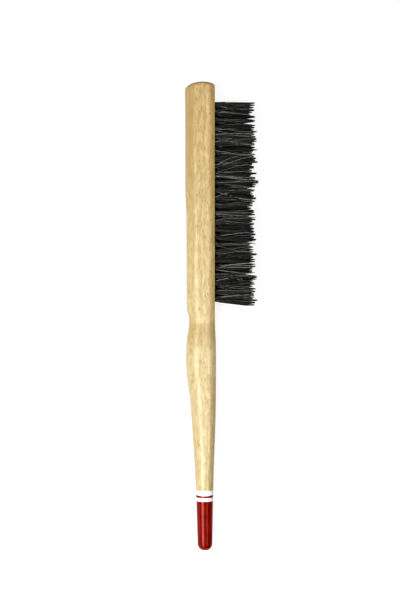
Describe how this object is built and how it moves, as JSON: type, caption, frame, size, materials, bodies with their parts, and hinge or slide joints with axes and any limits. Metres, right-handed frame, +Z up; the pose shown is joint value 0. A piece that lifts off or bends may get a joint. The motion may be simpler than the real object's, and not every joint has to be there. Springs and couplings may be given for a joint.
{
  "type": "body dry brush",
  "caption": "Slim long-handled wooden body brush: stiff dark bristle tufts along one side of the head, belly grip, tapered handle with a red dipped tip and white bands.",
  "frame": {"origin": "bottom centre of the whole brush's box as it lies on its side: on the resting plane, below the middle of its length and width", "axes": "+Y along the brush towards the end of the head, +X the way the bristles point, +Z up from the flat side that the head rests on"},
  "size_m": [0.0541, 0.36, 0.024],
  "materials": {
    "beech": "satin clear lacquer over fine straight-grained beech",
    "red_lacquer": "high gloss dipped lacquer, dark red",
    "white_paint": "gloss painted band, warm white",
    "bristle": "stiff dark bristle, near-black with some paler hairs, satin",
    "anchor_wire": "flat drawn stainless wire"
  },
  "bodies": {
    "root": {"wooden_body": "beech", "red_lacquer_tip": "red_lacquer", "upper_white_band": "white_paint", "lower_white_band": "white_paint", "tuft_row_01": "bristle", "tuft_row_02": "bristle", "tuft_row_03": "bristle", "tuft_row_04": "bristle", "tuft_row_05": "bristle", "tuft_row_06": "bristle", "tuft_row_07": "bristle", "tuft_row_08": "bristle", "tuft_row_09": "bristle", "tuft_row_10": "bristle", "tuft_row_11": "bristle", "tuft_row_12": "bristle", "tuft_row_13": "bristle", "tuft_row_14": "bristle", "tuft_row_15": "bristle", "tuft_row_16": "bristle", "tuft_row_17": "bristle", "tuft_row_18": "bristle", "tuft_row_19": "bristle", "tuft_row_20": "bristle", "tuft_row_21": "bristle", "tuft_row_22": "bristle", "tuft_row_23": "bristle", "tuft_row_24": "bristle", "tuft_row_25": "bristle", "tuft_row_26": "bristle", "anchor_row_01": "anchor_wire", "anchor_row_02": "anchor_wire", "anchor_row_03": "anchor_wire", "anchor_row_04": "anchor_wire", "anchor_row_05": "anchor_wire", "anchor_row_06": "anchor_wire", "anchor_row_07": "anchor_wire", "anchor_row_08": "anchor_wire", "anchor_row_09": "anchor_wire", "anchor_row_10": "anchor_wire", "anchor_row_11": "anchor_wire", "anchor_row_12": "anchor_wire", "anchor_row_13": "anchor_wire", "anchor_row_14": "anchor_wire", "anchor_row_15": "anchor_wire", "anchor_row_16": "anchor_wire", "anchor_row_17": "anchor_wire", "anchor_row_18": "anchor_wire", "anchor_row_19": "anchor_wire", "anchor_row_20": "anchor_wire", "anchor_row_21": "anchor_wire", "anchor_row_22": "anchor_wire", "anchor_row_23": "anchor_wire", "anchor_row_24": "anchor_wire", "anchor_row_25": "anchor_wire", "anchor_row_26": "anchor_wire"}
  },
  "joints": []
}
